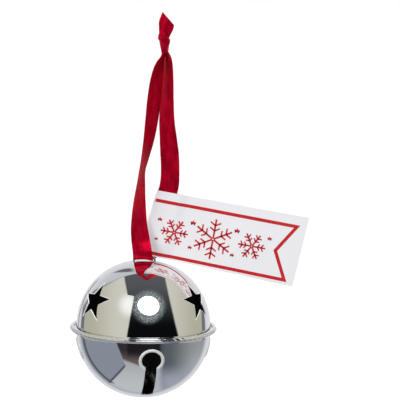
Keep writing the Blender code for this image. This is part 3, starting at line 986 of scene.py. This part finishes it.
def skin_height(inset):
    """How far the outside of the card stands off its middle plane, at a distance from the fold."""
    if inset < CARD_SKIN:
        return math.sqrt(max(CARD_SKIN**2 - (CARD_SKIN - inset) ** 2, 0.0))
    share = clamp((inset - SLEEVE_TAPER_START) / SLEEVE_TAPER)
    share = share * share * (3 - 2 * share)
    return CARD_SKIN + (TAG_LEAF - CARD_SKIN) * share


def card_inset(place):
    """Distance from the fold, measured along the card's own rows as the card's mesh is."""
    low, high = -0.2, 1.2
    for _ in range(30):
        share = (low + high) / 2
        left = TAG_BOTTOM_LEFT.lerp(TAG_TOP_LEFT, share)
        along = TAG_BOTTOM_RIGHT.lerp(TAG_TOP_RIGHT, share) - left
        if along.x * (place - left).y - along.y * (place - left).x > 0:
            low = share
        else:
            high = share
    return (place - left).length / along.length * (TAG_TOP_RIGHT - TAG_TOP_LEFT).length


def on_card(place, side, lift):
    """Point on the front (side -1) or back (side 1) of the card, at (x, z) from the crown."""
    height = skin_height(card_inset(place)) + lift
    return CROWN + Vector((place.x, TAG_Y + side * height, place.y))


def build_card():
    """Card folded round the ribbon: an outer skin and the sleeve's hole, joined at both ends."""
    length = (TAG_TOP_RIGHT - TAG_TOP_LEFT).length
    gap = TAG_SLEEVE_GAP / 2
    stations = [CARD_SKIN * (1 - math.cos(math.pi / 2 * i / 8)) for i in range(9)]
    stations += [SLEEVE_TAPER_START + SLEEVE_TAPER * i / 12 for i in range(13)]
    stations += [SLEEVE_TAPER_END + (length - SLEEVE_TAPER_END) * i / 16 for i in range(1, 17)]
    outer = [(s, skin_height(s)) for s in stations]
    outer += [(s, -h) for s, h in outer[:0:-1]]
    hole = [(s + TAG_LEAF, n) for s, n in arc(gap, 0, gap, 180, 90, 8)]
    hole += [(SLEEVE_TAPER_START, gap), (SLEEVE_DEPTH, 0.0)]
    hole += [(s, -n) for s, n in hole[-2:0:-1]]
    rows = 8

    def ring(outline, share):
        left = TAG_BOTTOM_LEFT.lerp(TAG_TOP_LEFT, share)
        right = TAG_BOTTOM_RIGHT.lerp(TAG_TOP_RIGHT, share)
        along = (right - left).normalized()
        scale = (right - left).length / length
        places = [(left + along * s * scale, n) for s, n in outline]
        return [CROWN + Vector((p.x, TAG_Y + n, p.y)) for p, n in places]

    bm = bmesh.new()
    ends = {0: [], rows: []}
    for outline in (outer, hole):
        loops = [[bm.verts.new(p) for p in ring(outline, i / rows)] for i in range(rows + 1)]
        for lower, upper in zip(loops, loops[1:]):
            bridge(bm, lower, upper)
        for row in ends:
            loop = loops[row]
            ends[row] += [bm.edges.get((loop[i - 1], loop[i])) for i in range(len(loop))]
    for edges in ends.values():
        bmesh.ops.triangle_fill(bm, use_beauty=True, edges=edges)
    mesh = mesh_from_bmesh("folded_card", bm)
    return add_piece("folded_card", mesh, CARD, "tag", ["tag_card"], 30.0)


def add_ink(bm, line, width, side):
    """Thin printed line that follows the card's surface, with mitred corners."""
    joints = []
    for i, point in enumerate(line):
        near = (line[max(i - 1, 0)], point, line[min(i + 1, len(line) - 1)])
        runs = [(b - a).normalized() for a, b in zip(near, near[1:]) if a != b]
        sides = [Vector((-r.y, r.x)) for r in runs]
        mitre = sum(sides, Vector((0, 0))).normalized()
        joints.append((point, mitre * (width / 2 / max(mitre.dot(sides[0]), 0.3))))
    corners = ((-1, INK_FOOT), (1, INK_FOOT), (1, INK_TOP), (-1, INK_TOP))
    rings = []
    for (a, side_a), (b, side_b) in zip(joints, joints[1:]):
        steps = max(1, round((b - a).length / INK_STEP))
        for step in range(1 if rings else 0, steps + 1):
            share = step / steps
            middle, edge = a.lerp(b, share), side_a.lerp(side_b, share)
            rings.append([on_card(middle + edge * way, side, lift) for way, lift in corners])
    add_rings(bm, rings)


def add_dot(bm, centre, outline, side):
    """Filled printed shape."""
    low, high = (
        [bm.verts.new(on_card(centre + p, side, lift)) for p in outline]
        for lift in (INK_FOOT, INK_TOP)
    )
    bridge(bm, low, high)
    bmesh.ops.triangulate(bm, faces=[bm.faces.new(low), bm.faces.new(high)])


def add_snowflake(bm, centre, radius, width, side, turn):
    for arm in range(6):
        angle = math.radians(turn + 60 * arm)
        out = Vector((math.cos(angle), math.sin(angle)))
        across = Vector((-out.y, out.x))
        add_ink(bm, [centre + out * radius * 0.04, centre + out * radius], width, side)
        for reach, size in ((0.42, 0.24), (0.68, 0.26)):
            root = centre + out * radius * reach
            for way in (-1, 1):
                tip = root + (out * 0.62 + across * way) * radius * size
                add_ink(bm, [root, tip], width * 0.85, side)


def build_print():
    """Pennant border, and on the front a row of snowflakes and stars."""
    inset = Vector((BORDER_INSET, 0))
    low = TAG_BOTTOM_LEFT + FOLD * BORDER_LOW + inset
    high = TAG_TOP_LEFT - FOLD * BORDER_HIGH + inset
    line = [low, *(Vector(p) * MM for p in BORDER), high]
    along = (TAG_TOP_RIGHT - TAG_TOP_LEFT).normalized()
    up = Vector((-along.y, along.x))
    for side, name in ((-1, "print_front"), (1, "print_back")):
        bm = bmesh.new()
        add_ink(bm, line, BORDER_WIDTH, side)
        if side < 0:
            add_snowflake(bm, PRINT_MIDDLE, 10.6 * MM, 0.95 * MM, side, 90 - PRINT_TILT)
            for way in (-1, 1):
                centre = PRINT_MIDDLE + along * way * FLAKE_SPACING
                add_snowflake(bm, centre, 7.2 * MM, 0.85 * MM, side, 60 - PRINT_TILT)
                for reach, rise, size in PRINT_STARS:
                    if way > 0 and reach > 20 and rise < 0:
                        continue
                    place = PRINT_MIDDLE + along * way * reach * MM + up * rise * MM
                    outline = star_corners(size * MM, 0.42, 90 - PRINT_TILT)
                    add_dot(bm, place, outline, side)
        mesh = mesh_from_bmesh(name, bm)
        add_piece(name, mesh, INK, "tag", (), 30.0)


# -------- camera, stage and light
ELEVATION = math.radians(8)
ROLL = math.radians(1)
FRAME_WIDTH = 0.208
CAMERA_DISTANCE = 1.3
TOWARD = Vector((0, -math.cos(ELEVATION), math.sin(ELEVATION)))
RIGHT = Vector((1, 0, 0))
UP = Vector((0, math.sin(ELEVATION), math.cos(ELEVATION)))
FLOOR_DROP = 0.16
# Area lights: name, direction from the crown, distance, size, energy, seen in reflections.
LIGHTS = (
    ("lamp", RIGHT * 0.154 + UP * 0.58 + TOWARD * 0.80, 0.9, 0.57, 1.9, True),
    ("fill_left", Vector((-0.8, -0.9, 0.35)), 1.2, 0.8, 6.5, False),
    ("fill_right", Vector((0.9, -0.9, 0.2)), 1.2, 0.8, 3.6, False),
)


def add_camera():
    """Long lens, framed on the middle of the ornament as it hangs, rolled slightly."""
    target = CROWN + RIGHT * 28.4 * MM + UP * 32.0 * MM
    right = math.cos(ROLL) * RIGHT + math.sin(ROLL) * UP
    up = -math.sin(ROLL) * RIGHT + math.cos(ROLL) * UP
    data = bpy.data.cameras.new("camera")
    data.sensor_width = 36
    data.lens = data.sensor_width * CAMERA_DISTANCE / FRAME_WIDTH
    data.clip_end = 50
    camera = link("camera", data)
    matrix = Matrix((right, up, TOWARD)).transposed().to_4x4()
    matrix.translation = target + TOWARD * CAMERA_DISTANCE
    camera.matrix_world = matrix
    scene.camera = camera


def add_floor():
    bm = bmesh.new()
    bmesh.ops.create_grid(bm, x_segments=1, y_segments=1, size=6)
    mesh = mesh_from_bmesh("floor", bm)
    g = Finish("pale_floor", (0.94, 0.94, 0.95), 0.9)
    g.tint(g.noise(g.coordinates(), 3.0, 2.0), (0.93, 0.93, 0.94), (0.96, 0.96, 0.97))
    mesh.materials.append(g.mat)
    floor = link("floor", mesh)
    floor.location = (0, 0, lower_low.z - FLOOR_DROP)
    floor.visible_glossy = False
    floor.visible_diffuse = False


def add_lights():
    """A round lamp that shows in the shells, and soft fill light that doesn't."""
    target = Vector((CROWN.x, 0, CROWN.z))
    for name, direction, reach, size, energy, glossy in LIGHTS:
        data = bpy.data.lights.new(name, "AREA")
        data.shape = "DISK"
        data.size = size
        data.energy = energy
        light = link(name, data)
        turn = direction.to_track_quat("Z", "Y").to_matrix().to_4x4()
        light.matrix_world = Matrix.Translation(target + direction.normalized() * reach) @ turn
        light.visible_glossy = glossy
        light.visible_camera = False
    sky = bpy.data.lights.new("overhead", "SUN")
    sky.energy = 2.4
    sky.angle = math.radians(70)
    link("overhead", sky).visible_glossy = False


def paint_upper(g, half, x, y, wide, rim):
    """What the upper shell shows: pale tent, beige side panels, dark gap, halo of the lamp."""
    edge = g.math("MULTIPLY_ADD", g.step(wide, 0.45, 0.9), 0.10, 0.81)
    panels = g.mix(g.step(wide, 0.3, 0.85), linear(206, 205, 194), linear(178, 177, 160))
    glow = g.step(g.distance(x, y, -0.19, 0.32), 0.24, 0.05)
    panels = g.paint(panels, glow, 252, 252, 250)

    # The gap's left side leans one way below a step and the other way above it.
    low_side = g.math("MULTIPLY_ADD", y, 0.16, -0.209)
    high_side = g.math("MULTIPLY_ADD", y, -0.25, -0.119)
    turned_side = g.both(g.step(y, 0.455, 0.48), g.math("SUBTRACT", high_side, low_side))
    past_left = g.math("SUBTRACT", x, g.math("ADD", low_side, turned_side))
    short_of_right = g.math("SUBTRACT", g.math("MULTIPLY_ADD", y, -0.25, 0.50), x)
    gap = g.both(g.step(past_left, -0.010, 0.012), g.step(short_of_right, -0.01, 0.02))
    dark = g.mix(g.step(y, 0.0, 0.75), linear(10, 12, 13), linear(86, 88, 92))
    from_lamp = g.distance(x, y, 0.081, 0.306)
    dark = g.paint(dark, g.step(from_lamp, 0.29, 0.16), 112, 120, 124)
    grains = g.step(g.noise(half, 62.0, 3.0, 0.7), 0.56, 0.62)
    sparks = g.both(grains, g.step(from_lamp, 0.27, 0.19))
    dark = g.paint(dark, sparks, 222, 232, 236)

    tent = g.mix(g.step(rim, 0.86, 1.0), linear(196, 197, 204), linear(222, 222, 228))
    inside = g.step(g.math("SUBTRACT", edge, rim), 0.0, 0.012)
    upper = g.mix(inside, tent, g.mix(gap, panels, dark))
    outline = g.both(g.within(rim, edge, 0.018, 0.004), g.step(y, 0.85, 0.4))
    upper = g.paint(upper, outline, 120, 120, 124)
    strip = g.both(g.step(wide, 0.865, 0.88), g.step(wide, 0.925, 0.91), g.step(y, 0.32, 0.15))
    upper = g.paint(upper, strip, 112, 113, 118)

    # A fold in the tent above the left panel, and a thin line near the left limb.
    reach = g.math("MULTIPLY", g.step(x, -0.58, -0.26), 0.030)
    off_line = g.math("ABSOLUTE", g.math("SUBTRACT", rim, g.math("MULTIPLY_ADD", x, -0.17, 0.835)))
    wedge = g.step(g.math("SUBTRACT", reach, off_line), -0.004, 0.014)
    wedge = g.both(wedge, g.step(x, -0.12, -0.24), g.step(y, 0.55, 0.70))
    upper = g.paint(upper, wedge, 104, 106, 106)
    hair = g.both(g.step(rim, 0.952, 0.958), g.step(rim, 0.972, 0.966), g.step(x, -0.70, -0.78))
    return g.paint(upper, g.math("MULTIPLY", hair, 0.7), 96, 98, 104)


def paint_lower(g, x, y, rim):
    """What the lower shell shows: grey table with a dark middle, bluish panels at the sides."""
    lower = g.mix(g.step(y, -0.2, -0.8), linear(150, 154, 156), linear(188, 192, 197))
    slate = g.both(g.step(x, 0.22, 0.32), g.step(x, 0.85, 0.35))
    lower = g.paint(lower, slate, 86, 93, 99)
    lavender = g.both(g.step(x, 0.05, 0.4), g.step(y, -0.45, -0.75))
    lower = g.paint(lower, lavender, 156, 161, 176)
    diagonal = g.math("SUBTRACT", y, g.math("MULTIPLY", x, 1.185))
    side_edge = g.math("MULTIPLY_ADD", y, 0.39, x)
    left = g.both(g.step(side_edge, -0.43, -0.455), g.step(diagonal, -0.205, -0.190))
    lower = g.paint(lower, left, 136, 143, 156)
    crease = g.both(g.within(diagonal, -0.21, 0.035, 0.012), g.step(x, -0.24, -0.26))
    lower = g.paint(lower, crease, 84, 88, 98)
    brown_edge = g.step(g.math("MULTIPLY_ADD", x, 0.355, y), -0.54, -0.49)
    brown = g.both(g.step(side_edge, -0.455, -0.43), g.step(x, 0.06, -0.02), brown_edge)
    shade = g.mix(g.step(y, -0.25, -0.55), linear(50, 46, 50), linear(116, 102, 100))
    lower = g.mix(brown, lower, shade)
    centre = g.both(g.step(x, -0.24, -0.20), g.step(x, 0.34, 0.24), g.step(y, -0.42, -0.27))
    lower = g.paint(lower, centre, 30, 28, 31)
    panel_rim = g.both(g.within(rim, 0.885, 0.022, 0.008), g.step(x, -0.38, -0.46))
    lower = g.paint(lower, panel_rim, 88, 91, 100)
    tent = g.mix(g.step(rim, 0.90, 0.97), linear(150, 153, 162), linear(214, 215, 223))
    return g.mix(g.step(rim, 0.90, 0.93), lower, tent)


def add_studio():
    """Light tent round the ornament, painted by the way that a mirror must face to show it:
    x to the right and y upwards across the picture. Seen directly it is plain white."""
    world = bpy.data.worlds.new("studio")
    scene.world = world
    world.use_nodes = True
    g = Graph(world.node_tree)
    g.nodes.clear()
    half = g.vector("NORMALIZE", g.vector("ADD", g.coordinates("Generated"), TOWARD[:]))
    x = g.vector("DOT_PRODUCT", half, RIGHT[:])
    y = g.vector("DOT_PRODUCT", half, UP[:])
    rim = g.distance(x, y, 0.0, 0.0)
    upper = paint_upper(g, half, x, y, g.math("ABSOLUTE", x), rim)
    colour = g.mix(g.step(y, -0.175, -0.155), paint_lower(g, x, y, rim), upper)
    painted = g.nodes.new("ShaderNodeBackground")
    g.put(painted.inputs["Color"], colour)
    painted.inputs["Strength"].default_value = 1.05
    plain = g.nodes.new("ShaderNodeBackground")
    plain.inputs["Color"].default_value = (1, 1, 1, 1)
    choose = g.nodes.new("ShaderNodeMixShader")
    g.put(choose.inputs[0], g.nodes.new("ShaderNodeLightPath").outputs["Is Camera Ray"])
    g.put(choose.inputs[1], painted.outputs[0])
    g.put(choose.inputs[2], plain.outputs[0])
    output = g.nodes.new("ShaderNodeOutputWorld")
    g.put(output.inputs["Surface"], choose.outputs[0])
    scene.view_settings.view_transform = "Standard"


# -------- build
build_upper_shell()
build_lower_shell()
build_eye()
build_striker()
front, front_lengths = build_strands()
tails = [
    build_tail("ribbon_tail_front_satin", -1, "ribbon_tail_front"),
    build_tail("ribbon_tail_back_satin", 1, "ribbon_tail_back"),
]
knot = build_knot()
build_card()
build_print()
add_camera()
add_floor()
add_studio()
add_lights()
